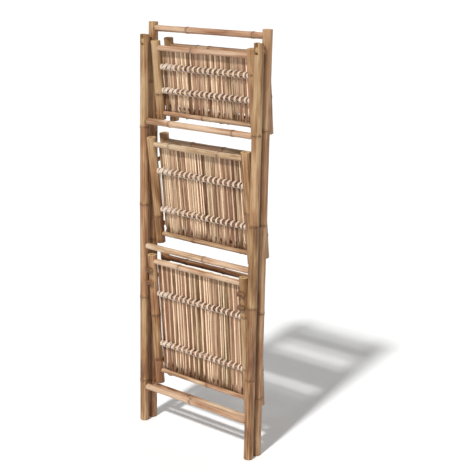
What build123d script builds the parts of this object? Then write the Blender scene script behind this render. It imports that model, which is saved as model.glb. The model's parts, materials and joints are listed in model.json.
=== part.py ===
from build123d import *
import os
from math import asin, cos, degrees, hypot, sin, sqrt

# Folding three-tier bamboo rack, folded flat, in millimetres.
# X runs across the rack, -Y is its front and Z is up. While it is being built, Y = 0 is the plane of
# the front posts and Z = 0 is the floor; the finished pieces are shifted to the middle of their box.

# ---- frame sizes ----
front_post_height = 930.0
back_post_rise = 27.0  # how far the back posts stand above the front ones
post_spacing = 325.0  # between post axes, across the rack
post_radius = 11.0
rail_radius = 7.5
frame_gap = 28.0  # back post axis behind front post axis, folded
pivot_drop = 15.0  # main hinge below the tops of the front posts
rest_inset = 52.0  # where the open bottom tray rests, measured from its pole tips
handle_drop = 14.5  # handle rail below the tops of the back posts
rail_tenon = 8.0  # how far a rail goes into a post or pole
socket_fit = 0.05  # glued joints, all round
end_bore_radius = 4.5  # the hollow of the cane, open at each cut end
end_bore_depth = 20.0

# ---- main hinge ----
tongue_thickness = 9.0
tongue_radius = 8.0
fork_side_clearance = 0.5
fork_floor_clearance = 1.5
hinge_pin_radius = 2.5
running_fit = 0.1  # round pins that turn in a bore
pin_proud = 0.5  # pin end beyond the post's side
tongue_beyond_axis = 2.0  # tongue end past the back post's axis

# ---- pegs that lock the rails in the posts ----
peg_radius = 1.5
peg_recess = 1.0
peg_inset = 5.0  # peg axis from the rail's end

# ---- trays ----
side_room = 3.0  # between a side pole and the post beside it
front_rail_radius = 6.5
rear_rail_radius = 5.5
front_rail_inset = 16.0  # front rail axis from the pole tips
rest_gap = 0.3  # open tray above the front rail that carries it
swing_clearance = 0.6
slat_count = 18
slat_gap = 2.3625  # between neighbouring slats, where the cord passes
slat_thickness = 5.0
slat_side_gap = 0.3  # outer slat's lower edge to the side pole's round side
slat_rear_overrun = 9.0  # slat end past the rail axis
slat_front_overrun = 3.0
tie_radius = 4.0
seat_gap = 0.05  # slats on rails and tie bars
cord_width = 2.0
cord_thickness = 2.0
cord_gap = 0.1
pivot_pin_radius = 3.0
pivot_pin_depth = 10.0  # in the pole and in the post alike
tail_bore_depth = 3.0

# ---- guard rails above each tray ----
guard_height = 43.0  # guard pole axis above side pole axis
guard_rail_radius = 7.0
guard_front_inset = 19.0  # guard rail axis from the pole tips
spacer_radius = 5.0
spacer_front_inset = 56.0  # from the pole tips
spacer_rear_offset = 20.0  # beyond the rear rail axis
spacer_tenon = 3.0

# ---- rest cleats under the bottom tray ----
cleat_radius = 6.0
cleat_length = 16.0
cleat_drop = 2.0  # cleat axis below the pole's surface
cleat_gap = 2.5  # cleat to front rail, each side

# Front rail height; rear rail and guard rear rail from the pivot; tie bars from the two rails; side and
# guard poles below the pivot; pole tips behind the front post axis when folded; and the room that the
# tray's corner leaves under whatever is above it as it swings.
trays = {
    "top": dict(
        rail_height=735.0, rear_rail=3.0, guard_rear=3.0, rear_tie=52.5, front_tie=42.5,
        tail=12.0, guard_tail=24.0, tip_depth=8.0, tip_clearance=8.7,
    ),
    "middle": dict(
        rail_height=441.0, rear_rail=14.5, guard_rear=9.0, rear_tie=60.5, front_tie=62.5,
        tail=8.0, guard_tail=8.0, tip_depth=-5.0, tip_clearance=20.5,
    ),
    "bottom": dict(
        rail_height=88.0, rear_rail=26.5, guard_rear=18.0, rear_tie=71.5, front_tie=80.0,
        tail=7.0, guard_tail=4.0, tip_depth=-1.0, tip_clearance=5.4,
    ),
}

# ---- worked out from the sizes above ----
back_post_height = front_post_height + back_post_rise
post_x = post_spacing / 2
pole_x = post_x - 2 * post_radius - side_room
pivot_height = front_post_height - pivot_drop
handle_height = back_post_height - handle_drop
rest_offset = post_radius + rail_radius + rest_gap  # open pole axis above front rail axis
tail_sweep = hypot(trays["bottom"]["tail"], post_radius)
slat_floor = front_rail_radius + seat_gap
slat_top = slat_floor + slat_thickness
slat_span = 2 * (pole_x - sqrt(post_radius**2 - slat_floor**2) - slat_side_gap)
slat_width = (slat_span - (slat_count - 1) * slat_gap) / slat_count
slat_pitch = slat_width + slat_gap
rear_rail_level = front_rail_radius - rear_rail_radius
tie_level = front_rail_radius - tie_radius
sides = {"left": -1, "right": 1}
opening_rounds = 20  # each round brings the opening angle closer to its final value


def across(radius, half_length, y=0.0, z=0.0):
    """A round bar along X, centred on the rack's middle plane."""
    return Pos(0, y, z) * Cylinder(radius, 2 * half_length, rotation=(0, 90, 0))


def cane(x, bottom, top, radius, y=0.0, bore_bottom=end_bore_depth, bore_top=end_bore_depth):
    """An upright bamboo pole with the hollow of the cane open at both ends."""
    pole = Pos(x, y, (bottom + top) / 2) * Cylinder(radius, top - bottom)
    pole -= Pos(x, y, bottom + bore_bottom / 2) * Cylinder(end_bore_radius, bore_bottom)
    return pole - Pos(x, y, top - bore_top / 2) * Cylinder(end_bore_radius, bore_top)


def rail_half(post_centre, radius=post_radius, tenon=rail_tenon):
    """Half the length of a rail whose ends are let into two upright poles."""
    return post_centre - radius + tenon


def pegs(y, heights):
    """Small dowels driven through a post and the rail end inside it."""
    x = rail_half(post_x) - peg_inset
    length = 2 * (post_radius - peg_recess)
    return [
        Pos(side * x, y, z) * Cylinder(peg_radius, length, rotation=(90, 0, 0))
        for side in sides.values()
        for z in heights
    ]


def group(solids):
    return Compound(children=list(solids))


def pivot_rise(angle):
    """Tray pivot above its front rail, for the tray to lie level on that rail at this opening."""
    return (rest_offset - frame_gap * sin(angle)) / cos(angle)


def rest_distance(name, angle):
    """From a tray's pivot to the front rail under it, once the rack is open by this angle."""
    front_reach = pivot_height - trays[name]["rail_height"]
    return (2 * front_reach - pivot_rise(angle)) * sin(angle) + frame_gap * cos(angle)


def tray_length(name, pivot):
    """From a tray's pivot to its pole tips, so that its corners swing clear of what is above."""
    order = list(trays)
    if name == order[0]:
        reach = handle_height - pivot
    else:
        above = trays[order[order.index(name) - 1]]["rail_height"]
        reach = hypot(frame_gap, above - pivot)
    reach -= rail_radius + trays[name]["tip_clearance"]
    return sqrt(reach**2 - (guard_height + post_radius) ** 2)


def frame_opening():
    """How far each frame leans when the bottom tray's cleats have dropped over the bottom rail."""
    rail = trays["bottom"]["rail_height"]
    front_reach = pivot_height - rail
    angle = 0.0
    for _ in range(opening_rounds):
        rest = tray_length("bottom", rail + pivot_rise(angle)) - rest_inset
        angle = asin((rest - frame_gap * cos(angle)) / (2 * front_reach - pivot_rise(angle)))
    return angle


opening = frame_opening()
back_rail_height = (
    trays["bottom"]["rail_height"] + pivot_rise(opening) - tail_sweep - rail_radius - swing_clearance
)


def tray_sizes(name):
    """Pivot height, length, lean and resting point of one tray."""
    tray = dict(trays[name])
    tray["pivot"] = tray["rail_height"] + pivot_rise(opening)
    tray["length"] = tray_length(name, tray["pivot"])
    tray["lean"] = degrees(asin((frame_gap - tray["tip_depth"]) / tray["length"]))
    tray["rest"] = rest_distance(name, opening)
    tray["range"] = 90 - tray["lean"] - degrees(opening)
    tray["place"] = Pos(0, frame_gap, tray["pivot"]) * Rot(tray["lean"], 0, 0)
    return tray


def main_hinge():
    """The two pins, and the two tongues that they hold in the forked post tops."""
    parts = {}
    bore = Pos(0, 0, pivot_height) * Cylinder(
        hinge_pin_radius + running_fit, 2 * post_spacing, rotation=(0, 90, 0)
    )
    reach = frame_gap + tongue_beyond_axis
    pin = Cylinder(hinge_pin_radius, 2 * (post_radius + pin_proud), rotation=(0, 90, 0))
    for name, side in sides.items():
        x = side * post_x
        parts[f"hinge_pin_{name}"] = Pos(x, 0, pivot_height) * pin
        tongue = Pos(x, reach / 2, pivot_height) * Box(tongue_thickness, reach, 2 * tongue_radius)
        tongue += Pos(x, 0, pivot_height) * Cylinder(tongue_radius, tongue_thickness, rotation=(0, 90, 0))
        parts[f"hinge_tongue_{name}"] = tongue - bore
    return parts


def front_frame():
    """Two forked posts and three rails."""
    parts = {}
    heights = [tray["rail_height"] for tray in trays.values()]
    slot_floor = pivot_height - tongue_radius - fork_floor_clearance
    slot_height = front_post_height - slot_floor
    slot_width = tongue_thickness + 2 * fork_side_clearance
    bore = across(hinge_pin_radius + running_fit, post_spacing, z=pivot_height)
    sockets = [across(rail_radius + socket_fit, rail_half(post_x) + socket_fit, z=z) for z in heights]
    dowels = pegs(0.0, heights)
    for name, side in sides.items():
        post = cane(side * post_x, 0, front_post_height, post_radius)
        slot = Box(slot_width, 3 * post_radius, slot_height)
        post -= Pos(side * post_x, 0, slot_floor + slot_height / 2) * slot
        for cut in [bore] + sockets + dowels:
            post -= cut
        parts[f"front_post_{name}"] = post
    for name, tray in trays.items():
        rail = across(rail_radius, rail_half(post_x), z=tray["rail_height"])
        for dowel in dowels:
            rail -= dowel
        parts[f"front_rail_{name}"] = rail
    parts["front_frame_pegs"] = group(dowels)
    return parts


def back_frame(tray_list):
    """Two tall posts, the handle rail and the low rail."""
    parts = {}
    rails = {"handle_rail": handle_height, "back_bottom_rail": back_rail_height}
    dowels = pegs(frame_gap, rails.values())
    sockets = [
        across(rail_radius + socket_fit, rail_half(post_x) + socket_fit, frame_gap, z) for z in rails.values()
    ]
    pin_reach = post_x - post_radius + pivot_pin_depth + running_fit
    bores = [
        across(pivot_pin_radius + running_fit, pin_reach, frame_gap, tray["pivot"]) for tray in tray_list.values()
    ]
    mortise_height = 2 * (tongue_radius + socket_fit)
    mortise_depth = post_radius + tongue_beyond_axis + socket_fit
    for name, side in sides.items():
        post = cane(side * post_x, 0, back_post_height, post_radius, frame_gap)
        mortise = Box(tongue_thickness + 2 * socket_fit, mortise_depth, mortise_height)
        y = frame_gap - post_radius + mortise_depth / 2
        post -= Pos(side * post_x, y, pivot_height) * mortise
        for cut in sockets + dowels + bores:
            post -= cut
        parts[f"back_post_{name}"] = post
    for name, z in rails.items():
        rail = across(rail_radius, rail_half(post_x), frame_gap, z)
        for dowel in dowels:
            rail -= dowel
        parts[name] = rail
    parts["back_frame_pegs"] = group(dowels)
    return parts


def slats(rear, front):
    """The split-cane slats, side by side on the rails and tie bars."""
    low = rear - slat_rear_overrun
    high = front + slat_front_overrun
    slat = Box(slat_width, slat_thickness, high - low)
    y = slat_floor + slat_thickness / 2
    first = -slat_span / 2 + slat_width / 2
    return [Pos(first + i * slat_pitch, y, (low + high) / 2) * slat for i in range(slat_count)]


def lashings(levels):
    """One loop of cord in each gap between slats, round the tie bar below."""
    inner = tie_radius + cord_gap
    outer = inner + cord_thickness
    ceiling = slat_top + cord_gap
    leg = ceiling - tie_level

    def stadium(radius, top):
        body = Cylinder(radius, cord_width, rotation=(0, 90, 0))
        return body + Pos(0, top / 2, 0) * Box(cord_width, top, 2 * radius)

    loop = stadium(outer, leg + cord_thickness) - stadium(inner, leg)
    first = -slat_pitch * (slat_count - 2) / 2
    return [
        Pos(first + i * slat_pitch, tie_level, level) * loop for level in levels for i in range(slat_count - 1)
    ]


def tray_parts(name, tray):
    """One tray, upright about its pivot: Z runs to its tip and +Y is its upper face."""
    tip = tray["length"]
    rear_rail = tray["rear_rail"]
    front_rail = tip - front_rail_inset
    ties = {"rear": rear_rail + tray["rear_tie"], "front": front_rail - tray["front_tie"]}
    inner_half = rail_half(pole_x)
    bars = {
        "rear_rail": across(rear_rail_radius, inner_half, rear_rail_level, rear_rail),
        "front_rail": across(front_rail_radius, inner_half, z=front_rail),
        "tie_bar_rear": across(tie_radius, inner_half, tie_level, ties["rear"]),
        "tie_bar_front": across(tie_radius, inner_half, tie_level, ties["front"]),
    }
    guard_front = tip - guard_front_inset
    guard_bars = {
        "guard_rear_rail": across(guard_rail_radius, inner_half, guard_height, tray["guard_rear"]),
        "guard_front_rail": across(guard_rail_radius, inner_half, guard_height, guard_front),
    }
    pin_start = post_x - post_radius - side_room - pivot_pin_depth
    pin_end = post_x - post_radius + pivot_pin_depth
    pin_length = pin_end - pin_start
    pins = [
        Pos(side * (pin_start + pin_end) / 2, 0, 0)
        * Cylinder(pivot_pin_radius, pin_length, rotation=(0, 90, 0))
        for side in sides.values()
    ]
    spacer_levels = [rear_rail + spacer_rear_offset, tip - spacer_front_inset]
    spacer_start = post_radius - spacer_tenon
    spacer_length = guard_height - 2 * spacer_start
    spacers = [
        Pos(side * pole_x, guard_height / 2, z) * Cylinder(spacer_radius, spacer_length, rotation=(90, 0, 0))
        for side in sides.values()
        for z in spacer_levels
    ]
    cleats = rest_cleats(tray["rest"]) if name == "bottom" else []
    let_in = [fitted(piece) for piece in pins + spacers + cleats + list(bars.values())]
    parts = {}
    for side_name, side in sides.items():
        pole = cane(side * pole_x, -tray["tail"], tip, post_radius, 0.0, tail_bore_depth)
        for socket in let_in:
            pole -= socket
        parts[f"side_pole_{side_name}"] = pole
        guard = cane(side * pole_x, -tray["guard_tail"], tip, post_radius, guard_height)
        for piece in spacers + list(guard_bars.values()):
            guard -= fitted(piece)
        parts[f"guard_pole_{side_name}"] = guard
    parts.update(bars)
    parts.update(guard_bars)
    parts["pivot_pins"] = group(pins)
    parts["guard_spacers"] = group(spacers)
    parts["slats"] = group(slats(rear_rail, front_rail))
    parts["lashings"] = group(lashings(ties.values()))
    if cleats:
        parts["rest_cleats"] = group(cleats)
    return {f"{name}_tray_{part}": tray["place"] * solid for part, solid in parts.items()}


def fitted(bar):
    """The socket for a round bar along X or Y: the bar, larger by the glued fit all round."""
    size = bar.bounding_box().size
    centre = bar.center()
    along_x = size.X > size.Y
    length = max(size.X, size.Y) + 2 * socket_fit
    turn = (0, 90, 0) if along_x else (90, 0, 0)
    return Pos(centre.X, centre.Y, centre.Z) * Cylinder(size.Z / 2 + socket_fit, length, rotation=turn)


def rest_cleats(rest):
    """Dowel lumps under each side pole that trap the bottom front rail when the rack is open."""
    offset = rail_radius + cleat_gap + cleat_radius
    y = -post_radius - cleat_drop
    return [
        Pos(side * pole_x, y, rest + step * offset)
        * Cylinder(cleat_radius, cleat_length, rotation=(0, 90, 0))
        for side in sides.values()
        for step in (-1, 1)
    ]


tray_list = {name: tray_sizes(name) for name in trays}
bodies = {"hinge": {}, "front_frame": front_frame(), "back_frame": {}}
for name, piece in main_hinge().items():
    bodies["hinge" if "pin" in name else "back_frame"][name] = piece
bodies["back_frame"].update(back_frame(tray_list))
for name, tray in tray_list.items():
    bodies[f"{name}_tray"] = tray_parts(name, tray)

pieces = {name: piece for body in bodies.values() for name, piece in body.items()}
boxes = [piece.bounding_box() for piece in pieces.values()]
front_edge = min(box.min.Y for box in boxes)
back_edge = max(box.max.Y for box in boxes)
centre_shift = -(front_edge + back_edge) / 2  # moves every piece so that the box is centred

os.makedirs("parts", exist_ok=True)
for name, piece in pieces.items():
    export_step(Pos(0, centre_shift, 0) * piece, f"parts/{name}.step")
print(len(pieces), "pieces written")
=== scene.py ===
import json
import math
import random
import bmesh
import bpy
from mathutils import Matrix, Vector

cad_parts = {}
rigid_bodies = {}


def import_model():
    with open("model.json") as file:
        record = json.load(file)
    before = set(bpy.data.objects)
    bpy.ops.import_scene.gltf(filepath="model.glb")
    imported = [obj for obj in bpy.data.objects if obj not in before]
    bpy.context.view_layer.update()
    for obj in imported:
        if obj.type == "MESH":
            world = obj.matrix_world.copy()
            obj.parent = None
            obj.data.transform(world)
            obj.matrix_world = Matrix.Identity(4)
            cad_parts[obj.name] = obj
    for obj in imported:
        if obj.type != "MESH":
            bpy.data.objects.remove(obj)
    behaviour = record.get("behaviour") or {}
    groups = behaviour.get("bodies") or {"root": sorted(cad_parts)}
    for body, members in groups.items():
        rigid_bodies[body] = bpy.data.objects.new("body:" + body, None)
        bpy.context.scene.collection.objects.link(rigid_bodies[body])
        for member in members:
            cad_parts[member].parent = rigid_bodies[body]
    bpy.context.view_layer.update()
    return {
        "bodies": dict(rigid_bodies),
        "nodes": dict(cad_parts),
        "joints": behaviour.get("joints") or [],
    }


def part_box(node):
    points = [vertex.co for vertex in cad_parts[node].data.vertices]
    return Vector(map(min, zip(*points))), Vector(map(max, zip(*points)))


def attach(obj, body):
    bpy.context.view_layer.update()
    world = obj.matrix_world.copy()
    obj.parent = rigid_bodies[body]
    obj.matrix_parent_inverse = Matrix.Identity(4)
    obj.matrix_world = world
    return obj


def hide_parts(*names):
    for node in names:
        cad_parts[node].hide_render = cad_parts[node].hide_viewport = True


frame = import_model()
print("frame loaded:", len(frame["nodes"]), "pieces")

# Shapes are made in millimetres about their own axis, then placed and brought to metres in one step.
toMetres = Matrix.Scale(0.001, 4)
jointRange = {joint["name"]: max(joint["range_deg"]) for joint in frame["joints"]}
trayNames = ["top", "middle", "bottom"]
grainSpan = 400  # each piece's pattern starts somewhere in a block this many millimetres wide
quarterTurn = math.radians(90)


def trayLean(tray):
    # folded trays lean by what is left of a right angle after the frame's opening and their own fold
    return math.radians(90 - jointRange["front_swing"] - jointRange[f"{tray}_tray_fold"])


def trayPlace(tray):
    low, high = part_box(f"{tray}_tray_pivot_pins")
    return Matrix.Translation((low + high) / 2) @ Matrix.Rotation(trayLean(tray), 4, "X")


def inTray(tray, node):
    # centre of a node in its tray's own axes: X across, Y up from the shelf, Z from pivot to tip
    low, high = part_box(node)
    return (trayPlace(tray).inverted() @ ((low + high) / 2)) * 1000


def bodyOf(node):
    holder = frame["nodes"][node].parent
    return next(name for name, empty in frame["bodies"].items() if empty == holder)


def addPiece(name, mesh, node, material):
    piece = bpy.data.objects.new(name, mesh)
    bpy.context.collection.objects.link(piece)
    mesh.materials.clear()
    mesh.materials.append(material)
    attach(piece, bodyOf(node))
    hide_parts(node)
    return piece


def grainStart(draw):
    return Vector((draw.uniform(0, grainSpan), draw.uniform(0, grainSpan), draw.uniform(0, grainSpan)))


def linear(colour):
    return tuple((part / 255) ** 2.2 for part in colour) + (1.0,)


def addNode(tree, kind, inputs, **settings):
    made = tree.nodes.new(kind)
    for key, value in settings.items():
        setattr(made, key, value)
    for key, value in inputs.items():
        if isinstance(value, bpy.types.NodeSocket):
            tree.links.new(value, made.inputs[key])
        else:
            made.inputs[key].default_value = value
    return made


def noiseOf(tree, vector, stretch, detail=3.0, roughness=0.55):
    scaled = addNode(tree, "ShaderNodeVectorMath", {0: vector, 1: stretch}, operation="MULTIPLY")
    settings = {"Vector": scaled.outputs[0], "Scale": 1.0, "Detail": detail, "Roughness": roughness}
    return addNode(tree, "ShaderNodeTexNoise", settings).outputs[0]


def between(tree, value, low, high, first=0.0, last=1.0):
    limits = {"Value": value, "From Min": low, "From Max": high, "To Min": first, "To Max": last}
    return addNode(tree, "ShaderNodeMapRange", limits).outputs[0]


def calc(tree, operation, first, second=0.0):
    return addNode(tree, "ShaderNodeMath", {0: first, 1: second}, operation=operation).outputs[0]


def mixed(tree, factor, first, second, how="MIX"):
    # sockets 0, 6 and 7 are the factor and the two colours, and output 2 is the mixed colour
    inputs = {0: factor, 6: first, 7: second}
    return addNode(tree, "ShaderNodeMix", inputs, data_type="RGBA", blend_type=how).outputs[2]


# How fine each pattern is: twice across the cane, then along it.
grainScale = {
    "wide": (0.055, 0.055, 0.011), "band": (0.33, 0.33, 0.006), "streakAlong": 0.016,
    "fibre": (5.0, 5.0, 0.09), "speck": (0.42, 0.42, 0.12), "worn": (0.16, 0.16, 0.3),
    "dots": (2.4, 2.4, 0.3),
}


def makeBamboo(name, look):
    material = bpy.data.materials.new(name)
    material.use_nodes = True
    tree = material.node_tree
    shader = tree.nodes["Principled BSDF"]
    grain = addNode(tree, "ShaderNodeAttribute", {}, attribute_name="grain").outputs["Vector"]
    mark = addNode(tree, "ShaderNodeAttribute", {}, attribute_name="mark")
    parts = addNode(tree, "ShaderNodeSeparateColor", {0: mark.outputs["Color"]})
    ring, tone, cut = parts.outputs
    hue = mark.outputs["Alpha"]

    wide = noiseOf(tree, grain, grainScale["wide"], 2.0)
    band = noiseOf(tree, grain, grainScale["band"], 2.0)
    streak = noiseOf(tree, grain, (look["fine"], look["fine"], grainScale["streakAlong"]), 3.0)
    fibre = noiseOf(tree, grain, grainScale["fibre"], 2.0)
    speck = noiseOf(tree, grain, grainScale["speck"], 4.0, 0.7)

    # body colour: pale to brown by internode, then patches, bands and fine streaks along the cane
    level = calc(tree, "ADD", tone, between(tree, wide, 0.3, 0.7, -look["patch"], look["patch"]))
    level = calc(tree, "ADD", level, between(tree, band, 0.32, 0.68, -look["band"], look["band"]))
    ramp = addNode(tree, "ShaderNodeValToRGB", {0: level})
    stops = ramp.color_ramp.elements
    stops[0].position = 0.1
    stops[0].color = linear(look["pale"])
    stops[1].position = 0.9
    stops[1].color = linear(look["brown"])
    middle = stops.new(0.5)
    middle.color = linear(look["honey"])
    greened = between(tree, hue, 0.0, 0.5, look["tint"], 0.0)
    skin = mixed(tree, greened, ramp.outputs[0], linear(look["green"]))
    pinked = between(tree, hue, 0.5, 1.0, 0.0, look["tint"])
    skin = mixed(tree, pinked, skin, linear(look["pink"]))
    lines = between(tree, streak, 0.34, 0.66, -1.0, 1.0)
    dark = calc(tree, "MULTIPLY", between(tree, lines, 0.0, -1.0), look["streak"])
    bright = calc(tree, "MULTIPLY", between(tree, lines, 0.2, 1.0), look["shine"])
    skin = mixed(tree, dark, skin, linear(look["deep"]))
    skin = mixed(tree, bright, skin, linear(look["light"]))
    specked = between(tree, speck, 0.6, 0.74, 0.0, look["speck"])
    skin = mixed(tree, specked, skin, linear(look["deep"]))

    # node rings: a brown halo with a thin dark scar in its middle; on the slats the same channel darkens
    # their rear ends
    worn = noiseOf(tree, grain, grainScale["worn"], 3.0, 0.65)
    darkened = between(tree, worn, 0.36, 0.62, 0.08, look["darkening"])
    halo = calc(tree, "MULTIPLY", between(tree, ring, 0.2, 0.8), darkened)
    skin = mixed(tree, halo, skin, linear(look["halo"]))
    scarred = between(tree, worn, 0.34, 0.6, 0.15, look["scar"])
    scar = calc(tree, "MULTIPLY", between(tree, ring, 0.8, 0.96), scarred)
    skin = mixed(tree, scar, skin, linear(look["deep"]))

    # cut wood: pale, dotted with fibre bundles, and painted near black down the hollow, a painted shade
    # in the bore
    dots = noiseOf(tree, grain, grainScale["dots"], 2.0, 0.6)
    wood = mixed(tree, between(tree, dots, 0.45, 0.7), linear(look["cutPale"]), linear(look["cutBrown"]))
    colour = mixed(tree, between(tree, cut, 0.1, 0.4), skin, wood)
    colour = mixed(tree, between(tree, cut, 0.6, 1.0), colour, linear(look["hollow"]))
    tree.links.new(colour, shader.inputs["Base Color"])

    # streaks are rougher and raised, fibres are raised, and cut wood is rougher still
    rough = between(tree, streak, 0.3, 0.7, look["rough"] - 0.07, look["rough"] + 0.1)
    rough = calc(tree, "ADD", rough, between(tree, cut, 0.1, 0.5, 0.0, 0.25))
    tree.links.new(rough, shader.inputs["Roughness"])
    height = calc(tree, "ADD", calc(tree, "MULTIPLY", streak, 0.7), calc(tree, "MULTIPLY", fibre, 0.3))
    bump = {"Strength": look["bump"], "Distance": look["bumpDepth"], "Height": height}
    tree.links.new(addNode(tree, "ShaderNodeBump", bump).outputs[0], shader.inputs["Normal"])
    shader.inputs["Specular IOR Level"].default_value = look["gloss"]
    return material


caneLook = {
    "pale": (180, 149, 111), "honey": (146, 107, 69), "brown": (102, 61, 30),
    "green": (130, 112, 66), "pink": (164, 112, 82), "deep": (62, 36, 18), "light": (212, 182, 144),
    # hollow is the near-black colour painted down a cane's bore: painted shade
    "halo": (92, 58, 34), "cutPale": (196, 164, 118), "cutBrown": (122, 82, 48), "hollow": (30, 19, 12),
    "patch": 0.42, "band": 0.26, "tint": 0.5, "streak": 0.44, "shine": 0.3, "speck": 0.5, "fine": 1.5,
    "darkening": 0.62, "scar": 0.6, "rough": 0.44, "bump": 0.5, "bumpDepth": 0.0006, "gloss": 0.45,
}
materials = {
    "post_bamboo": makeBamboo("postBamboo", caneLook),
    "pole_bamboo": makeBamboo("poleBamboo", caneLook | {"honey": (150, 108, 68)}),
    "rail_bamboo": makeBamboo("railBamboo", caneLook | {
        "pale": (204, 178, 150), "honey": (164, 128, 96), "pink": (176, 128, 102), "patch": 0.36,
    }),
    "slat_bamboo": makeBamboo("slatBamboo", caneLook | {
        "pale": (196, 166, 137), "honey": (144, 109, 80), "brown": (92, 59, 37), "pink": (162, 116, 94),
        # the slats' cut wood is their split sides: paler inner wood, made near white in part as a
        # painted highlight on their lit edges; halo and scar colour the slats' darker rear ends
        "cutPale": (255, 234, 206), "cutBrown": (216, 176, 138), "halo": (60, 34, 18), "patch": 0.24,
        "band": 0.45, "streak": 0.75, "shine": 0.5, "scar": 0.7, "darkening": 0.95, "rough": 0.58,
        "bump": 0.8, "gloss": 0.25, "fine": 0.95,
    }),
    "dowel_bamboo": makeBamboo("dowelBamboo", caneLook | {
        "pale": (164, 120, 78), "honey": (136, 90, 54), "brown": (92, 56, 32), "rough": 0.55,
    }),
}


def makeCord(name, look):
    material = bpy.data.materials.new(name)
    material.use_nodes = True
    tree = material.node_tree
    shader = tree.nodes["Principled BSDF"]
    ply = addNode(tree, "ShaderNodeAttribute", {}, attribute_name="ply").outputs["Vector"]
    axes = addNode(tree, "ShaderNodeSeparateXYZ", {0: ply}).outputs
    # two plies twisted together: a double helix round the cord, from its angle and the length along it
    phase = calc(tree, "MULTIPLY", axes[2], 2 * math.pi / look["twist"])
    first = calc(tree, "MULTIPLY", axes[0], calc(tree, "COSINE", phase))
    second = calc(tree, "MULTIPLY", axes[1], calc(tree, "SINE", phase))
    twist = calc(tree, "ADD", first, second)
    fuzz = noiseOf(tree, ply, look["fuzzScale"], 4.0, 0.7)
    soil = noiseOf(tree, ply, look["soilScale"], 2.0)
    colour = mixed(tree, between(tree, soil, 0.35, 0.65), linear(look["cream"]), linear(look["rose"]))
    # the grooves between the plies are darkened towards the shade colour, a painted shade, and the fuzz
    # spots take the same colour
    shade = calc(tree, "MULTIPLY", between(tree, twist, 0.2, -0.9), 0.55)
    colour = mixed(tree, shade, colour, linear(look["shade"]))
    colour = mixed(tree, between(tree, fuzz, 0.55, 0.75, 0.0, 0.4), colour, linear(look["shade"]))
    tree.links.new(colour, shader.inputs["Base Color"])
    height = calc(tree, "ADD", twist, calc(tree, "MULTIPLY", fuzz, 0.5))
    bump = {"Strength": look["bump"], "Distance": look["bumpDepth"], "Height": height}
    tree.links.new(addNode(tree, "ShaderNodeBump", bump).outputs[0], shader.inputs["Normal"])
    shader.inputs["Roughness"].default_value = look["rough"]
    shader.inputs["Sheen Weight"].default_value = look["sheen"]
    shader.inputs["Specular IOR Level"].default_value = look["gloss"]
    return material


cordLook = {
    "radius": 1.35, "sides": 8, "twist": 4.6, "slack": 1.08,
    "spread": 1.4, "legSpread": 0.8, "wander": 0.3, "skew": 1.1, "overSlat": 0.9,
    "endInset": 3.2, "endStep": 2.3, "endSkew": 0.6,
    "startTurns": 5, "startWander": 0.8, "startSlack": 1.04,
    "runInset": 1.2, "runLevel": 4.6,
    "cream": (242, 226, 206), "rose": (212, 188, 170), "shade": (122, 94, 74),
    "fuzzScale": (3.0, 3.0, 2.2), "soilScale": (0.5, 0.5, 0.03), "bump": 0.7, "bumpDepth": 0.0004,
    "rough": 0.85, "sheen": 0.2, "gloss": 0.2,
}
materials["cord"] = makeCord("lashingCord", cordLook)
print("materials:", len(materials))


# A ring on a cane, as (height from its middle, share of the rise) along the cane.
ringShape = [
    (-8, 0.0), (-4, 0.12), (-1.8, 0.55), (-0.7, 0.85), (0.0, 0.3), (0.7, 0.95), (2.4, 0.6), (7, 0.0),
]
# Sizes in millimetres: rise is a ring's height, step the least and most between rings, hollow its depth.
# The value for the hollow's walls and floor is their cut-wood mark; above 0.6 it paints them dark, a
# painted shade.
caneKinds = {
    "post": {
        "rise": 0.75, "bow": 0.9, "kink": 0.45, "waist": 0.03, "step": (150, 225), "hollow": 20,
        "sides": 32, "boreShade": 1.0, "tones": (0.3, 0.6),
    },
    "pole": {
        "rise": 0.7, "bow": 0.5, "kink": 0.35, "waist": 0.035, "step": (120, 190), "hollow": 3,
        "sides": 28, "boreShade": 0.7, "tones": (0.3, 0.6),
    },
    "rail": {
        "rise": 0.75, "bow": 0.7, "kink": 0.35, "waist": 0.07, "step": (110, 190), "hollow": 0,
        "sides": 24, "boreShade": 0.5, "tones": (0.25, 0.5),
    },
    "bar": {
        "rise": 0.5, "bow": 0.3, "kink": 0.2, "waist": 0.02, "step": (120, 180), "hollow": 0,
        "sides": 20, "boreShade": 0.5, "tones": (0.5, 0.7),
    },
}
hollowRadius = 4.5
# A cut end's worn edge as (in from the side, in from the end), then the floor of its hollow and the
# mouth, as (out from the hollow's side, up from its floor) and (out from its side, in from the end).
endEdge = [(1.0, 0.0), (0.3, 0.25), (0.0, 1.0)]
hollowFloor = [(-0.6, 0.4), (0.0, 2)]
hollowMouth = [(0.0, 0.5), (0.4, 0.0)]
caneRoom = {
    "plainEnd": 9.0,  # from each end to the nearest place where the outline may change
    "longestRun": 22.0,  # between rings of vertices along a plain stretch
    "firstRing": 35, "firstSlack": 20, "lastRing": 30, "nearestEnd": 25,
    "sideShare": 0.5,  # a cane bows and kinks this share as far one way as the other
}
markLook = {"endBand": 0.2, "floorBand": 0.1, "forkInset": 0.5, "endCut": 0.5, "ringReach": 8}
caneCrease = math.radians(38)

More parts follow.
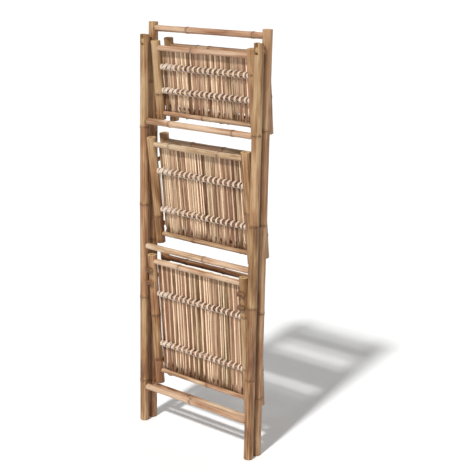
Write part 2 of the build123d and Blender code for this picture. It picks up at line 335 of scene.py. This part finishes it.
# Where the rings are on the canes that are seen best: millimetres from the foot, or from the left end.
ringPlaces = {
    "front_post_left": [104, 315, 540, 721],
    "front_post_right": [190, 358, 542, 738],
    "back_post_left": [96, 268, 452, 640, 822],
    "back_post_right": [140, 340, 540, 745],
    "handle_rail": [100, 285],
    "front_rail_top": [74, 258],
    "front_rail_middle": [182],
    "front_rail_bottom": [146],
    "back_bottom_rail": [118],
    "top_tray_front_rail": [104],
    "top_tray_guard_front_rail": [84, 118],
    "top_tray_rear_rail": [124],
    "middle_tray_front_rail": [52, 196],
    "middle_tray_guard_front_rail": [84, 176],
    "bottom_tray_front_rail": [82],
    "bottom_tray_guard_front_rail": [66, 178],
    "bottom_tray_rear_rail": [150],
    "bottom_tray_side_pole_left": [62, 178],
    "bottom_tray_side_pole_right": [110, 236],
    "middle_tray_side_pole_right": [118],
    "middle_tray_side_pole_left": [66],
}
# How brown and how pink each of these canes is, foot to top, stretch by stretch; 0 is pale and green.
caneTones = {
    "front_post_left": [(0.54, 0.5), (0.5, 0.5), (0.58, 0.75), (0.5, 0.7), (0.4, 0.55)],
    "front_post_right": [(0.68, 0.55), (0.84, 0.55), (0.56, 0.4), (0.42, 0.6), (0.34, 0.45)],
    "back_post_left": [(0.6, 0.7), (0.62, 0.75), (0.6, 0.6), (0.66, 0.8), (0.5, 0.7), (0.48, 0.6)],
    "back_post_right": [(0.42, 0.7), (0.44, 0.75), (0.4, 0.75), (0.42, 0.8), (0.3, 0.75)],
    "handle_rail": [(0.34, 0.75), (0.5, 0.85), (0.62, 0.8)],
    "front_rail_top": [(0.44, 0.6), (0.36, 0.75), (0.4, 0.85)],
    "front_rail_middle": [(0.3, 0.45), (0.3, 0.8)],
    "front_rail_bottom": [(0.32, 0.75), (0.34, 0.85)],
    "top_tray_front_rail": [(0.32, 0.85), (0.4, 0.9)],
    "top_tray_guard_front_rail": [(0.5, 0.6), (0.4, 0.7), (0.55, 0.7)],
    "middle_tray_front_rail": [(0.3, 0.3), (0.26, 0.3), (0.34, 0.3)],
    # kept pale to stand in for the light that falls on it: painted light
    "middle_tray_guard_front_rail": [(0.0, 0.4), (0.06, 0.95), (0.0, 0.35)],
    # made dark brown to stand in for the shadow it lies in: painted shade
    "bottom_tray_guard_front_rail": [(0.9, 0.5), (0.95, 0.5), (0.85, 0.5)],
    # the guard rear rails are made darkest brown, standing in for the shade seen through the gaps
    # between the slats' rear ends: painted shade
    "top_tray_guard_rear_rail": [(0.95, 0.6)],
    "middle_tray_guard_rear_rail": [(1.0, 0.6)],
    "bottom_tray_guard_rear_rail": [(1.0, 0.6)],
    "bottom_tray_front_rail": [(0.2, 0.7), (0.3, 0.7)],
}


def ringsOf(node, length, look, draw):
    if node in ringPlaces:
        return ringPlaces[node]
    places = [draw.uniform(caneRoom["firstRing"], look["step"][1] - caneRoom["firstSlack"])]
    while places[-1] + look["step"][0] < length - caneRoom["lastRing"]:
        places.append(places[-1] + draw.uniform(*look["step"]))
    nearest = caneRoom["nearestEnd"]
    return [place for place in places if nearest < place < length - nearest]


def caneOutline(length, radius, rings, look):
    # half section of a cane as (radius, height) points, from the bottom of the lower hollow upwards
    rise = look["rise"]
    outer = [(radius - inset, z) for inset, z in endEdge]
    stops = [(z + dz, rise * dr) for z in rings for dz, dr in ringShape]
    stops = sorted([(caneRoom["plainEnd"], 0.0)] + stops)
    stops.append((length - caneRoom["plainEnd"], 0.0))
    for z, dr in stops:
        last = outer[-1][1]
        extra = int((z - last) / caneRoom["longestRun"])
        outer += [(radius, last + (z - last) * (i + 1) / (extra + 1)) for i in range(extra)]
        outer.append((radius + dr, z))
    outer += [(radius - inset, length - z) for inset, z in reversed(endEdge)]
    if not look["hollow"]:
        return [(0.0, 0.0)] + outer + [(0.0, length)]
    depth = look["hollow"]
    foot = [(0.0, depth)]
    foot += [(hollowRadius + out, depth - up) for out, up in hollowFloor]
    foot += [(hollowRadius + out, z) for out, z in hollowMouth]
    head = [(r, length - z) for r, z in reversed(foot)]
    return foot + outer + head


def bendCane(shape, length, radius, rings, look, draw):
    # a slow bow, a small change of direction at each ring, and internodes slimmer than the rings
    share = caneRoom["sideShare"]
    bowTurn = draw.uniform(0, 2 * math.pi)
    bow = Vector((share * math.cos(bowTurn), math.sin(bowTurn))) * look["bow"]
    knots = [0.0] + list(rings) + [length]
    kinks = [Vector((share * draw.uniform(-1, 1), draw.uniform(-1, 1))) * look["kink"] for _ in knots]
    kinks[0] = Vector((0.0, 0.0))
    kinks[-1] = Vector((0.0, 0.0))
    for vert in shape.verts:
        z = min(max(vert.co.z, 0.0), length)
        i = max(k for k in range(len(knots) - 1) if knots[k] <= z)
        part = (z - knots[i]) / (knots[i + 1] - knots[i])
        waist = 1 - look["waist"] * math.sin(math.pi * part) ** 0.5
        vert.co.x *= waist
        vert.co.y *= waist
        shift = bow * math.sin(math.pi * z / length) + kinks[i].lerp(kinks[i + 1], part)
        vert.co.x += shift.x
        vert.co.y += shift.y


def spunShape(outline, sides):
    shape = bmesh.new()
    verts = [shape.verts.new((r, 0.0, z)) for r, z in outline]
    edges = [shape.edges.new(pair) for pair in zip(verts, verts[1:])]
    turned = {"cent": (0, 0, 0), "axis": (0, 0, 1), "angle": 2 * math.pi, "steps": sides}
    bmesh.ops.spin(shape, geom=verts + edges, use_merge=True, **turned)
    bmesh.ops.remove_doubles(shape, verts=shape.verts, dist=0.001)
    bmesh.ops.recalc_face_normals(shape, faces=shape.faces)
    return shape


forkLook = {"sideRoom": 0.5, "floorRoom": 1.5, "cutDepth": 60.0, "cutHeight": 200.0}


def cutFork(mesh, node, foot):
    # the fork in a front post's top, a little wider than the tongue in it
    low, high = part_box(node.replace("front_post", "hinge_tongue"))
    tongue = (high - low) * 1000
    floor = (low.z - foot) * 1000 - forkLook["floorRoom"]
    cutter = bmesh.new()
    bmesh.ops.create_cube(cutter, size=1.0)
    height = forkLook["cutHeight"]
    size = (tongue.x + 2 * forkLook["sideRoom"], forkLook["cutDepth"], height)
    bmesh.ops.scale(cutter, vec=size, verts=cutter.verts)
    bmesh.ops.translate(cutter, vec=(0, 0, floor + height / 2), verts=cutter.verts)
    cutterMesh = bpy.data.meshes.new("forkCutter")
    cutter.to_mesh(cutterMesh)
    cutterObject = bpy.data.objects.new("forkCutter", cutterMesh)
    post = bpy.data.objects.new("forkPost", mesh)
    for each in (post, cutterObject):
        bpy.context.collection.objects.link(each)
    cut = post.modifiers.new("fork", "BOOLEAN")
    cut.operation = "DIFFERENCE"
    cut.object = cutterObject
    cut.solver = "EXACT"
    ready = bpy.context.evaluated_depsgraph_get()
    result = bpy.data.meshes.new_from_object(post.evaluated_get(ready))
    for each in (post, cutterObject):
        bpy.data.objects.remove(each)
    return result, floor


def markCane(mesh, length, radius, look, rings, tones, start, forkFloor):
    # what the material reads: grain is the place in the cane, mark is ring, tone, cut wood and tint; cut
    # wood down the hollow is painted dark, a painted shade
    grain = mesh.attributes.new("grain", "FLOAT_VECTOR", "POINT")
    for vert in mesh.vertices:
        grain.data[vert.index].vector = vert.co + start
    mark = mesh.attributes.new("mark", "FLOAT_COLOR", "CORNER")
    bore = hollowRadius if look["hollow"] else 0.0
    endBand = markLook["endBand"]
    forkCut = forkFloor - markLook["floorBand"]
    for face in mesh.polygons:
        middle = face.center
        out = math.hypot(middle.x, middle.y)
        cut = 0.0
        if middle.z < endBand or middle.z > length - endBand:
            cut = markLook["endCut"]
        # faces in the bore take the kind's bore mark, which paints them dark: painted shade
        elif out < bore + 0.2 and abs(face.normal.z) < 0.9:
            cut = look["boreShade"]
        elif middle.z > forkCut and out < radius - markLook["forkInset"]:
            cut = markLook["endCut"]
        elif out < bore:
            cut = look["boreShade"]
        for corner in face.loop_indices:
            z = mesh.vertices[mesh.loops[corner].vertex_index].co.z
            near = max([1 - abs(z - place) / markLook["ringReach"] for place in rings] + [0.0])
            side = sum(1 for place in rings if middle.z > place)
            tone, tint = tones[min(side, len(tones) - 1)]
            mark.data[corner].color = (near, tone, cut, tint)


def makeCane(node, kind, slot, index, lean=None):
    look = caneKinds[kind]
    draw = random.Random(1000 + index)
    low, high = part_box(node)
    size = (high - low) * 1000
    if kind in ("rail", "bar"):
        length = size.x
        radius = size.z / 2
        turn = Matrix.Rotation(quarterTurn, 4, "Y")
    else:
        lean = lean or 0.0
        radius = size.x / 2
        length = (size.z - 2 * radius * math.sin(lean)) / math.cos(lean)
        turn = Matrix.Rotation(lean, 4, "X")
    rings = ringsOf(node, length, look, draw)
    shape = spunShape(caneOutline(length, radius, rings, look), look["sides"])
    bendCane(shape, length, radius, rings, look, draw)
    mesh = bpy.data.meshes.new(f"{node}_cane")
    shape.to_mesh(mesh)
    shape.free()
    forkFloor = length
    if node.startswith("front_post"):
        mesh, forkFloor = cutFork(mesh, node, low.z)
    plain = [(draw.uniform(*look["tones"]), draw.uniform(0.3, 0.85)) for _ in range(len(rings) + 1)]
    start = grainStart(draw)
    markCane(mesh, length, radius, look, rings, caneTones.get(node, plain), start, forkFloor)
    centred = Matrix.Translation((0, 0, -length / 2))
    mesh.transform(Matrix.Translation((low + high) / 2) @ turn @ toMetres @ centred)
    mesh.shade_smooth()
    mesh.set_sharp_from_angle(angle=caneCrease)
    return addPiece(f"{node}_cane", mesh, node, materials[slot])


canes = [(f"{frameName}_post_{side}", "post", "post_bamboo", None)
         for frameName in ("front", "back") for side in ("left", "right")]
canes += [(node, "rail", "rail_bamboo", None) for node in (
    "handle_rail", "back_bottom_rail", "front_rail_top", "front_rail_middle", "front_rail_bottom")]
for tray in trayNames:
    canes += [(f"{tray}_tray_{pole}_pole_{side}", "pole", "pole_bamboo", trayLean(tray))
              for pole in ("side", "guard") for side in ("left", "right")]
    canes += [(f"{tray}_tray_{rail}", "rail", "rail_bamboo", None)
              for rail in ("rear_rail", "front_rail", "guard_rear_rail", "guard_front_rail")]
    canes += [(f"{tray}_tray_tie_bar_{end}", "bar", "slat_bamboo", None) for end in ("rear", "front")]
for index, (node, kind, slot, lean) in enumerate(canes):
    makeCane(node, kind, slot, index, lean)
print("canes:", len(canes))


# Slats are split cane, skin side up, laid side by side on the rails.
slatLook = {
    "count": 18, "frameThickness": 5.0, "thickness": 4.2, "crown": 0.5, "chamfer": 1.3, "edge": 0.35,
    "wander": 1.6, "gap": (0.5, 1.8), "splitGap": 0.1, "splitAt": (0.35, 0.65),
    "drift": 0.5, "bow": 0.5, "lift": 0.5, "across": 4, "step": 4.0,
    "ripple": 0.02, "rippleTurn": 9, "ripplePhase": 6.28,
    "trim": 5.0, "slant": 0.5, "trimReach": 20,
    "notchStart": (13.0, 17.0), "notchEnd": (27.0, 32.0), "notchWidth": (0.58, 0.9), "notchShift": 1.3,
    "notchSoft": 4.0, "pinch": 0.05, "pinchReach": 6.0,
    "tones": [0.08, 0.2, 0.32, 0.4, 0.5, 0.6, 0.74, 0.92], "toneWander": 0.1, "tints": (0.25, 0.95),
    "bare": [0.24, 0.32, 0.42, 0.5],  # how pale the split sides are: paler inner wood, and in part a painted highlight on their lit edges
    "pieces": [1, 1, 1, 1, 2],  # some slats are split once more, lengthwise
    # Each slat darkens towards its rear end, over a reach drawn from the first pair and as deep as the
    # value after it, and its pale split sides fade out there. The last value raises each slat's tone
    # towards its right flank, which turns from the light: painted shade.
    "darkening": (24, 44), "rearDarkDepth": 0.95, "paleFrom": 0.2, "flankShade": 0.22,
}
slatCrease = math.radians(34)
# How far the mat's left edge lies in from the frame's at its front end, and at its rear end. A minus
# sign is further out.
firstInset = {"top": (-3.6, -3.6), "middle": (3.6, 0.5), "bottom": (-2.4, -3.0)}
matBrown = {"top": 0.03, "middle": 0.2, "bottom": 0.3}  # how much browner than the slats' own tones


def makeSlat(width, length):
    # a strip in X and Z with its skin towards +Y: its underside's long edges are cut back by the
    # chamfer, and the edges that are still sharp by a small bevel
    look = slatLook
    strip = bmesh.new()
    along = int(length / look["step"])
    bmesh.ops.create_grid(strip, x_segments=look["across"], y_segments=along, size=0.5)
    bmesh.ops.scale(strip, vec=(width, length, 1), verts=strip.verts)
    upright = Matrix.Rotation(quarterTurn, 3, "X")
    bmesh.ops.rotate(strip, cent=(0, 0, 0), matrix=upright, verts=strip.verts)
    faces = bmesh.ops.solidify(strip, geom=strip.faces[:], thickness=look["thickness"])["geom"]
    bmesh.ops.recalc_face_normals(strip, faces=strip.faces)
    back = min(vert.co.y for vert in strip.verts)
    side = width / 2 - 0.01
    under = [edge for edge in strip.edges
             if all(abs(vert.co.x) > side and vert.co.y < back + 0.01 for vert in edge.verts)]
    bevel = {"affect": "EDGES", "segments": 1, "profile": 0.5, "material": -1}
    bmesh.ops.bevel(strip, geom=under, offset=look["chamfer"], **bevel)
    sharp = [edge for edge in strip.edges if edge.calc_face_angle(0.0) > math.radians(60)]
    bmesh.ops.bevel(strip, geom=sharp, offset=look["edge"], **bevel)
    middle = (back + max(vert.co.y for vert in strip.verts)) / 2
    return strip, middle


def smooth(part):
    # 0 below 0, 1 above 1, and an even curve between them
    part = min(max(part, 0.0), 1.0)
    return part * part * (3 - 2 * part)


def shapeSlat(strip, middle, width, length, ties, rearShift, draw):
    # notched near its rear end, pinched by the cords, bowed, and cut off unevenly
    look = slatLook
    bow = draw.uniform(-1, 1) * look["bow"]
    lift = draw.uniform(0, look["lift"])
    phase = draw.uniform(0, look["ripplePhase"])
    narrow = draw.uniform(*look["notchWidth"])
    notchStart = draw.uniform(*look["notchStart"])
    notchEnd = draw.uniform(*look["notchEnd"])
    lean = draw.uniform(-1, 1) * look["drift"]
    rear = draw.uniform(0, look["trim"])
    slant = draw.uniform(-look["slant"], look["slant"])
    shift = draw.uniform(-1, 1) * look["notchShift"]
    for vert in strip.verts:
        along = vert.co.z / length + 0.5
        fromRear = max(along * length, 0.0)
        inNotch = smooth((fromRear - notchStart) / look["notchSoft"])
        inNotch *= smooth((notchEnd - fromRear) / look["notchSoft"])
        squeeze = 1 - (1 - narrow) * inNotch
        squeeze *= 1 + look["ripple"] * math.sin(look["rippleTurn"] * along + phase)
        near = min(abs(vert.co.z - tie) for tie in ties) / look["pinchReach"]
        squeeze *= 1 - look["pinch"] * math.exp(-near * near)
        crown = look["crown"] * (1 - (2 * vert.co.x / width) ** 2)
        vert.co.x = vert.co.x * squeeze + bow * math.sin(math.pi * along) + lean * (along - 0.5)
        vert.co.x += shift * inNotch + rearShift * (1 - along) ** 2
        vert.co.y += crown + lift * math.sin(math.pi * along) - middle
        vert.co.z += (rear + slant * vert.co.x) * max(1 - fromRear / look["trimReach"], 0.0)


def markSlat(strip, length, start, tone, tint, draw):
    look = slatLook
    grain = strip.verts.layers.float_vector.new("grain")
    mark = strip.loops.layers.float_color.new("mark")
    darkening = draw.uniform(*look["darkening"])
    bare = draw.choice(look["bare"])
    halfWidth = max(vert.co.x for vert in strip.verts)
    for vert in strip.verts:
        vert[grain] = vert.co + start
    for face in strip.faces:
        cut = bare if abs(face.normal.x) > 0.5 or abs(face.normal.z) > 0.7 else 0.0
        for loop in face.loops:
            fromRear = loop.vert.co.z + length / 2
            # each slat's tone rises towards its right flank, which turns from the light: painted shade
            shade = look["flankShade"] * loop.vert.co.x / halfWidth
            # towards the rear end the slat darkens and its pale split sides fade out
            paleShare = smooth(fromRear / darkening - look["paleFrom"])
            darkened = look["rearDarkDepth"] * max(1 - fromRear / darkening, 0.0)
            loop[mark] = (darkened, tone + shade, cut * paleShare, tint)


def slatEdges(tray, draw):
    # left and right side of each slat: even shares of the frame's mat, give or take the wander
    low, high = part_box(f"{tray}_tray_slats")
    span = (high.x - low.x) * 1000
    pitch = span / slatLook["count"]
    bounds = [firstInset[tray][0] - span / 2]
    for i in range(1, slatLook["count"]):
        bounds.append(i * pitch - span / 2 + draw.uniform(-1, 1) * slatLook["wander"])
    bounds.append(span / 2)
    return list(zip(bounds, bounds[1:]))


def makeSlats(tray, seed):
    look = slatLook
    draw = random.Random(seed)
    node = f"{tray}_tray_slats"
    low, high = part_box(node)
    size = (high - low) * 1000
    rearShift = firstInset[tray][1] - firstInset[tray][0]
    lean = trayLean(tray)
    length = (size.z - look["frameThickness"] * math.sin(lean)) / math.cos(lean)
    middleLevel = inTray(tray, node).z
    ties = [inTray(tray, f"{tray}_tray_tie_bar_{end}").z - middleLevel for end in ("rear", "front")]
    bundle = bmesh.new()
    edges = slatEdges(tray, draw)
    for left, right in edges:
        gap = draw.uniform(*look["gap"])
        pieces = draw.choice(look["pieces"])
        tone = draw.choice(look["tones"])
        tint = draw.uniform(*look["tints"])
        split = left + (right - left) * draw.uniform(*look["splitAt"])
        spans = [(left, right)] if pieces == 1 else [(left, split), (split, right)]
        for edge, nextEdge in spans:
            width = nextEdge - edge - (gap if pieces == 1 else 0.5 * gap + look["splitGap"])
            strip, middle = makeSlat(width, length)
            shift = rearShift if edge == edges[0][0] else 0.0
            shapeSlat(strip, middle, width, length, ties, shift, draw)
            start = grainStart(draw)
            own = tone + matBrown[tray] + draw.uniform(-look["toneWander"], look["toneWander"])
            markSlat(strip, length, start, own, tint, draw)
            bmesh.ops.translate(strip, vec=((edge + nextEdge) / 2, 0, 0), verts=strip.verts)
            single = bpy.data.meshes.new("slat")
            strip.to_mesh(single)
            strip.free()
            bundle.from_mesh(single)
            bpy.data.meshes.remove(single)
    mesh = bpy.data.meshes.new(f"{node}_split")
    bundle.to_mesh(mesh)
    bundle.free()
    turn = Matrix.Rotation(lean, 4, "X")
    mesh.transform(Matrix.Translation((low + high) / 2) @ turn @ toMetres)
    mesh.shade_smooth()
    mesh.set_sharp_from_angle(angle=slatCrease)
    return addPiece(f"{node}_split", mesh, node, materials["slat_bamboo"])


for index, tray in enumerate(trayNames):
    makeSlats(tray, 77 + index)
print("slats made")


def barWrap(tray, end):
    # where a tie bar lies in its tray, and how far its cord stands from the bar's axis
    low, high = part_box(f"{tray}_tray_tie_bar_{end}")
    return inTray(tray, f"{tray}_tray_tie_bar_{end}"), (high.z - low.z) * 500 + cordLook["radius"]


def lashingPath(tray, end, strand, draw):
    # a cord that goes round the bar in every gap, and on over each slat to the next gap; two of these
    # lie side by side
    look = cordLook
    bar, reach = barWrap(tray, end)
    slats = inTray(tray, f"{tray}_tray_slats")
    low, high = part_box(f"{tray}_tray_slats")
    pitch = (high.x - low.x) * 1000 / slatLook["count"]
    top = slats.y + slatLook["frameThickness"] / 2 + look["radius"]
    over = top + look["overSlat"]
    points = []
    for i in range(slatLook["count"] - 1):
        x = low.x * 1000 + (i + 1) * pitch + draw.uniform(-look["wander"], look["wander"])
        wide = reach * look["slack"] * draw.uniform(0.97, 1.1)
        leg = x + strand * look["legSpread"]
        bulge = x + strand * look["spread"]
        skew = draw.uniform(-look["skew"], look["skew"])
        points += [
            (leg, top, wide), (leg, slats.y - 1, wide * 1.02),
            (bulge + skew, bar.y, wide), (bulge + 0.6 * skew, bar.y - 0.8 * wide, 0.7 * wide),
            (bulge, bar.y - wide, 0.0),
            (bulge - 0.6 * skew, bar.y - 0.8 * wide, -0.7 * wide), (bulge - skew, bar.y, -wide),
            (leg, slats.y - 1, -wide * 1.02), (leg, top, -wide),
            (x + pitch * 0.4, over, -0.35 * wide), (x + pitch * 0.7, over, 0.35 * wide),
        ]
    return [Vector((x, y, bar.z + u)) for x, y, u in points[:-2]]


def endWrap(tray, end, x, draw):
    # a turn over the bar beside a pole, its two ends tucked up against the slats
    bar, reach = barWrap(tray, end)
    wide = reach * cordLook["slack"] * draw.uniform(0.98, 1.06)
    tuck = inTray(tray, f"{tray}_tray_slats").y - slatLook["frameThickness"] / 2 - cordLook["radius"]
    skew = draw.uniform(-cordLook["endSkew"], cordLook["endSkew"])
    points = [
        (x + skew, tuck, 0.8 * wide), (x + skew, bar.y + 1, wide),
        (x + 0.6 * skew, bar.y - 0.8 * wide, 0.7 * wide), (x, bar.y - wide, 0.0),
        (x - 0.6 * skew, bar.y - 0.8 * wide, -0.7 * wide),
        (x - skew, bar.y + 1, -wide), (x - skew, tuck, -0.8 * wide),
    ]
    return [Vector((x, y, bar.z + u)) for x, y, u in points]


def startWrap(tray, end, turns, draw):
    # where the cord begins, it crosses the bar back and forth over the first few slats
    bar, reach = barWrap(tray, end)
    low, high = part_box(f"{tray}_tray_slats")
    pitch = (high.x - low.x) * 1000 / slatLook["count"]
    wide = reach * cordLook["slack"] * cordLook["startSlack"]
    wander = cordLook["startWander"]
    points = []
    for i in range(turns):
        x = low.x * 1000 + 0.45 * pitch + i * 0.5 * pitch + draw.uniform(-wander, wander)
        points += [
            (x, bar.y + 1, -wide), (x + 0.12 * pitch, bar.y - 0.8 * wide, -0.7 * wide),
            (x + 0.25 * pitch, bar.y - 1.12 * wide, 0.0),
            (x + 0.38 * pitch, bar.y - 0.8 * wide, 0.7 * wide), (x + 0.5 * pitch, bar.y + 1, wide),
            (x + 0.52 * pitch, bar.y + 2, 0.5 * wide), (x + 0.52 * pitch, bar.y + 2, -0.5 * wide),
        ]
    return [Vector((x, y, bar.z + u)) for x, y, u in points[:-2]]


def tieRun(tray):
    # the single cord that runs up beside the first slat, from one tie bar to the other
    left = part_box(f"{tray}_tray_slats")[0].x * 1000
    rear = inTray(tray, f"{tray}_tray_tie_bar_rear")
    front = inTray(tray, f"{tray}_tray_tie_bar_front")
    x = left + cordLook["runInset"]
    level = rear.y + cordLook["runLevel"]
    steps = [0.0, 0.12, 0.35, 0.6, 0.85, 1.0]
    sway = [0.0, 0.8, 0.4, -0.3, 0.5, 0.0]
    return [Vector((x + dx, level, rear.z + (front.z - rear.z) * part)) for part, dx in zip(steps, sway)]


def cordMesh(points, look):
    # a beveled curve as a mesh, with each vertex's angle and distance along the cord kept on it
    curve = bpy.data.curves.new("lashing", "CURVE")
    curve.dimensions = "3D"
    curve.bevel_depth = look["radius"]
    curve.bevel_resolution = (look["sides"] - 4) // 2
    curve.resolution_u = 3
    spline = curve.splines.new("NURBS")
    spline.points.add(len(points) - 1)
    for point, place in zip(spline.points, points):
        point.co = (*place, 1.0)
    spline.order_u = 3
    spline.use_endpoint_u = True
    holder = bpy.data.objects.new("lashing", curve)
    mesh = bpy.data.meshes.new_from_object(holder)
    bpy.data.objects.remove(holder)
    bpy.data.curves.remove(curve)
    sides = look["sides"]
    places = [vert.co.copy() for vert in mesh.vertices]
    rounds = [places[i : i + sides] for i in range(0, len(places), sides)]
    centres = [sum(ring, Vector()) / len(ring) for ring in rounds]
    ply = mesh.attributes.new("ply", "FLOAT_VECTOR", "POINT")
    run = 0.0
    for i, ring in enumerate(rounds):
        run += (centres[i] - centres[i - 1]).length if i else 0.0
        for k in range(len(ring)):
            angle = 4 * math.pi * k / sides
            ply.data[i * sides + k].vector = (math.cos(angle), math.sin(angle), run)
    return mesh


def makeLashings(tray, seed):
    draw = random.Random(seed)
    node = f"{tray}_tray_lashings"
    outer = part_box(f"{tray}_tray_slats")[1].x * 1000 - cordLook["endInset"]
    wraps = [side * (outer - step) for side in (-1, 1) for step in (0.0, cordLook["endStep"])]
    paths = [tieRun(tray)]
    for end in ("rear", "front"):
        paths += [lashingPath(tray, end, strand, draw) for strand in (-1, 1)]
        paths += [endWrap(tray, end, x, draw) for x in wraps]
        paths.append(startWrap(tray, end, cordLook["startTurns"], draw))
    bundle = bmesh.new()
    for path in paths:
        single = cordMesh(path, cordLook)
        bundle.from_mesh(single)
        bpy.data.meshes.remove(single)
    ends = [edge for edge in bundle.edges if edge.is_boundary]
    bmesh.ops.holes_fill(bundle, edges=ends, sides=cordLook["sides"])
    bmesh.ops.recalc_face_normals(bundle, faces=bundle.faces)
    mesh = bpy.data.meshes.new(f"{node}_cord")
    bundle.to_mesh(mesh)
    bundle.free()
    mesh.transform(trayPlace(tray) @ toMetres)
    mesh.shade_smooth()
    return addPiece(f"{node}_cord", mesh, node, materials["cord"])


for index, tray in enumerate(trayNames):
    makeLashings(tray, 211 + index)
print("lashings made")


def makeWorn(node, width, grainAxis, tone, seed):
    # a dowel, pin, tongue, spacer or cleat: the frame's own shape with its edges worn round
    draw = random.Random(seed)
    mesh = frame["nodes"][node].data.copy()
    mesh.name = f"{node}_worn"
    shape = bmesh.new()
    shape.from_mesh(mesh)
    bmesh.ops.remove_doubles(shape, verts=shape.verts, dist=0.00001)
    bmesh.ops.dissolve_limit(shape, angle_limit=math.radians(1), verts=shape.verts, edges=shape.edges)
    sharp = [edge for edge in shape.edges if edge.calc_face_angle(0.0) > math.radians(50)]
    bevel = {"affect": "EDGES", "segments": 3, "profile": 0.5, "material": -1, "clamp_overlap": True}
    bmesh.ops.bevel(shape, geom=sharp, offset=width * 0.001, **bevel)
    grain = shape.verts.layers.float_vector.new("grain")
    mark = shape.loops.layers.float_color.new("mark")
    order = {"X": (1, 2, 0), "Y": (2, 0, 1), "Z": (0, 1, 2)}[grainAxis]
    along = "XYZ".index(grainAxis)
    start = grainStart(draw)
    for vert in shape.verts:
        vert[grain] = Vector([vert.co[axis] * 1000 for axis in order]) + start
    for face in shape.faces:
        cut = 0.3 if abs(face.normal[along]) > 0.8 else 0.0
        for loop in face.loops:
            loop[mark] = (0.0, tone, cut, 0.5)
    shape.to_mesh(mesh)
    shape.free()
    mesh.shade_smooth()
    mesh.set_sharp_from_angle(angle=caneCrease)
    return addPiece(f"{node}_worn", mesh, node, materials["dowel_bamboo"])


# Each node with the width of its worn edge, the axis its grain runs along, and how brown it is.
worn = [(f"hinge_tongue_{side}", 1.0, "Y", 0.45) for side in ("left", "right")]
worn += [(f"hinge_pin_{side}", 0.4, "X", 0.7) for side in ("left", "right")]
worn += [(f"{name}_frame_pegs", 0.4, "Y", 0.6) for name in ("front", "back")]
worn += [(f"{tray}_tray_pivot_pins", 0.4, "X", 0.6) for tray in trayNames]
worn += [(f"{tray}_tray_guard_spacers", 0.4, "Y", 0.5) for tray in trayNames]
worn += [("bottom_tray_rest_cleats", 1.8, "X", 1.0)]
for index, (node, width, grainAxis, tone) in enumerate(worn):
    makeWorn(node, width, grainAxis, tone, 500 + index)
print("dowels:", len(worn))


floorLook = {
    "size": 300.0, "pale": (243, 243, 243), "cloud": 0.985, "cloudScale": (0.8, 0.8, 0.8),
    "rough": 0.9, "gloss": 0.1,
}


def makeFloor(look):
    shape = bmesh.new()
    bmesh.ops.create_grid(shape, x_segments=2, y_segments=2, size=look["size"] / 2)
    mesh = bpy.data.meshes.new("floor")
    shape.to_mesh(mesh)
    shape.free()
    floor = bpy.data.objects.new("floor", mesh)
    bpy.context.collection.objects.link(floor)
    material = bpy.data.materials.new("floorPaint")
    material.use_nodes = True
    tree = material.node_tree
    shader = tree.nodes["Principled BSDF"]
    place = addNode(tree, "ShaderNodeTexCoord", {}).outputs["Object"]
    cloud = noiseOf(tree, place, look["cloudScale"], 2.0)
    soft = tuple(part * look["cloud"] for part in linear(look["pale"])[:3]) + (1.0,)
    tree.links.new(mixed(tree, cloud, linear(look["pale"]), soft), shader.inputs["Base Color"])
    shader.inputs["Roughness"].default_value = look["rough"]
    shader.inputs["Specular IOR Level"].default_value = look["gloss"]
    mesh.materials.append(material)


makeFloor(floorLook)

# The key light comes from the front and above, and a very soft one fills in the back.
lightLook = {
    "key": {"energy": 3.3, "soft": 4.6, "travel": (-0.12, 0.655, -0.745)},
    "fill": {"energy": 0.8, "soft": 80.0, "travel": (0.45, -0.8, -0.35)},
}
for name, look in lightLook.items():
    light = bpy.data.lights.new(name, "SUN")
    light.energy = look["energy"]
    light.angle = math.radians(look["soft"])
    lamp = bpy.data.objects.new(name, light)
    travel = Vector(look["travel"])
    lamp.rotation_mode = "QUATERNION"
    lamp.rotation_quaternion = travel.to_track_quat("-Z", "Y")
    lamp.location = -3 * travel
    bpy.context.collection.objects.link(lamp)

skyLook = {"overhead": 0.34, "horizon": 1.0, "tint": (1.0, 0.995, 0.985, 1.0)}
world = bpy.data.worlds.new("softRoom")
bpy.context.scene.world = world
world.use_nodes = True
sky = world.node_tree
direction = addNode(sky, "ShaderNodeTexCoord", {}).outputs["Generated"]
rise = addNode(sky, "ShaderNodeSeparateXYZ", {0: direction}).outputs[2]
strength = between(sky, rise, 0.02, 0.2, skyLook["horizon"], skyLook["overhead"])
sky.links.new(strength, sky.nodes["Background"].inputs["Strength"])
sky.nodes["Background"].inputs["Color"].default_value = skyLook["tint"]

# The camera looks at a point beside the rack's middle, from its front right and a little above.
cameraLook = {
    "azimuth": 39.0, "elevation": 14.25, "distance": 2.4258, "lens": 81.7, "roll": 1.23,
    "height": 0.480, "aside": 0.0639, "above": 0.0089,
}


def makeCamera(look):
    turn = math.radians(look["azimuth"])
    tilt = math.radians(look["elevation"])
    roll = math.radians(look["roll"])
    back = Vector((math.sin(turn) * math.cos(tilt), -math.cos(turn) * math.cos(tilt), math.sin(tilt)))
    right = Vector((math.cos(turn), math.sin(turn), 0.0))
    up = back.cross(right)
    target = Vector((0, 0, look["height"])) + right * look["aside"] + up * look["above"]
    rolledRight = right * math.cos(roll) + up * math.sin(roll)
    rolledUp = up * math.cos(roll) - right * math.sin(roll)
    data = bpy.data.cameras.new("camera")
    data.lens = look["lens"]
    data.clip_end = 500.0
    camera = bpy.data.objects.new("camera", data)
    bpy.context.collection.objects.link(camera)
    axes = Matrix((rolledRight, rolledUp, back)).transposed().to_4x4()
    camera.matrix_world = Matrix.Translation(target + back * look["distance"]) @ axes
    bpy.context.scene.camera = camera


makeCamera(cameraLook)
bpy.context.scene.view_settings.view_transform = "Standard"
print("floor, light and camera ready")
